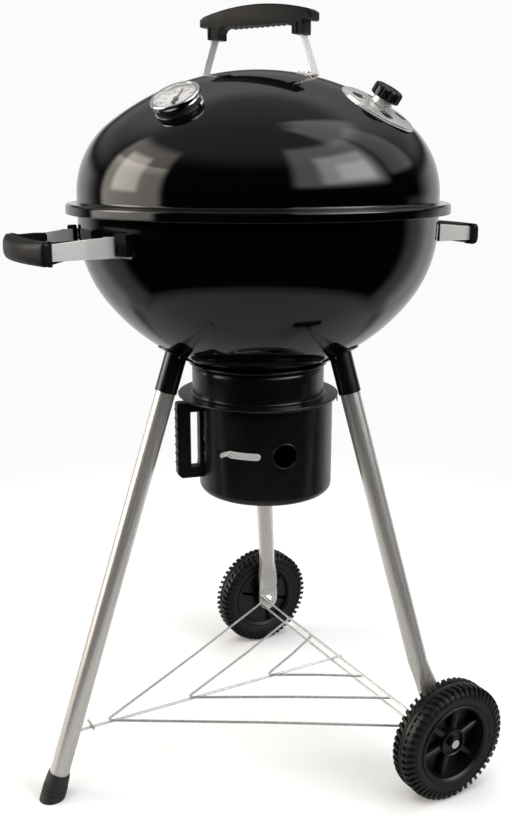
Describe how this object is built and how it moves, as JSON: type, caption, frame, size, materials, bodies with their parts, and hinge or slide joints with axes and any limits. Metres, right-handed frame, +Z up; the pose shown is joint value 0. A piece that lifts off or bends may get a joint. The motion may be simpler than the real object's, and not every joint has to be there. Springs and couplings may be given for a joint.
{
  "type": "kettle charcoal grill",
  "caption": "Round kettle grill on splayed tube legs with wheels, wire rack, domed lid with damper and thermometer, side handles and a drop-off ash can.",
  "frame": {"origin": "middle of the footprint on the floor", "axes": "+Z up; +X from the footed leg towards the wheels; +Y towards the rear wheel, along the axle line"},
  "size_m": [0.766, 0.623, 1.174],
  "materials": {
    "black_enamel": "glossy vitreous enamel",
    "satin_black": "semi-gloss heat-proof black",
    "brushed_stainless": "brushed along the part",
    "bright_steel": "bright nickel plate",
    "zinc_wire": "zinc-plated wire",
    "black_nylon": "moulded, fine grain",
    "tyre_rubber": "moulded tread",
    "foot_rubber": "matte",
    "dial_white": "printed white dial",
    "needle_black": "black pointer",
    "clear_glass": "clear flat glass"
  },
  "bodies": {
    "frame": {"bowl": "black_enamel", "grate_tabs": "black_enamel", "foot_leg_socket": "satin_black", "right_leg_socket": "satin_black", "rear_leg_socket": "satin_black", "socket_screws": "satin_black", "foot_leg": "brushed_stainless", "right_leg": "brushed_stainless", "rear_leg": "brushed_stainless", "foot_cap": "foot_rubber", "rack_centre_wire": "zinc_wire", "rack_outer_arms": "zinc_wire", "rack_middle_arms": "zinc_wire", "rack_inner_arms": "zinc_wire", "rack_side_wires": "zinc_wire", "rack_cross_pin": "zinc_wire", "wheel_bolts": "bright_steel", "wheel_nuts": "bright_steel", "left_handle_bracket": "brushed_stainless", "left_handle_grip": "black_nylon", "right_handle_bracket": "brushed_stainless", "right_handle_grip": "black_nylon", "handle_mount_blocks": "black_nylon", "handle_screws": "satin_black", "ash_collar": "satin_black", "ash_neck": "satin_black", "can_clips": "satin_black"},
    "lid": {"lid_shell": "black_enamel", "lid_handle_straps": "brushed_stainless", "lid_handle_grip": "black_nylon", "lid_handle_screws": "bright_steel", "vent_base_plate": "bright_steel", "thermometer_seat": "foot_rubber", "thermometer_case": "bright_steel", "thermometer_dial": "dial_white", "thermometer_glass": "clear_glass", "thermometer_probe": "bright_steel", "thermometer_nut": "bright_steel"},
    "vent": {"vent_damper": "bright_steel", "vent_stem": "bright_steel", "vent_knob": "black_nylon"},
    "needle": {"thermometer_needle": "needle_black"},
    "right_wheel": {"right_tyre": "tyre_rubber", "right_wheel_rim": "black_nylon", "right_wheel_bush": "black_nylon"},
    "rear_wheel": {"rear_tyre": "tyre_rubber", "rear_wheel_rim": "black_nylon", "rear_wheel_bush": "black_nylon"},
    "can": {"ash_can": "satin_black", "ash_can_handle": "black_nylon", "ash_can_screws": "bright_steel"},
    "air_control": {"air_ring": "satin_black", "air_ring_lever": "bright_steel"},
    "cook_rack": {"cooking_grate": "bright_steel"},
    "coal_rack": {"charcoal_grate": "zinc_wire"}
  },
  "joints": [
    {"name": "lid_lift", "type": "slide", "parent": "frame", "child": "lid", "axis": [0, 0, 1], "range_m": [0, 0.35]},
    {"name": "vent_turn", "type": "hinge", "parent": "lid", "child": "vent", "pos_m": [0.10325, -0.16352, 1.03082], "axis": [0.2752, -0.458, 0.8453], "range_deg": [0, 45]},
    {"name": "needle_turn", "type": "hinge", "parent": "lid", "child": "needle", "pos_m": [-0.17101, -0.09359, 1.0372], "axis": [-0.4796, -0.255, 0.8396], "range_deg": [-240, 0]},
    {"name": "right_wheel_spin", "type": "hinge", "parent": "frame", "child": "right_wheel", "pos_m": [0.178, -0.29, 0.094], "axis": [0, 1, 0], "continuous": true},
    {"name": "rear_wheel_spin", "type": "hinge", "parent": "frame", "child": "rear_wheel", "pos_m": [0.178, 0.29, 0.094], "axis": [0, 1, 0], "continuous": true},
    {"name": "ash_can_drop", "type": "slide", "parent": "frame", "child": "can", "axis": [0, 0, -1], "range_m": [0, 0.15]},
    {"name": "air_ring_turn", "type": "hinge", "parent": "can", "child": "air_control", "pos_m": [0.01539, -0.006, 0.53], "axis": [0, 0, 1], "range_deg": [-24, 0]},
    {"name": "cooking_grate_lift", "type": "slide", "parent": "frame", "child": "cook_rack", "axis": [0, 0, 1], "range_m": [0, 0.02]},
    {"name": "charcoal_grate_lift", "type": "slide", "parent": "frame", "child": "coal_rack", "axis": [0, 0, 1], "range_m": [0, 0.05]}
  ]
}
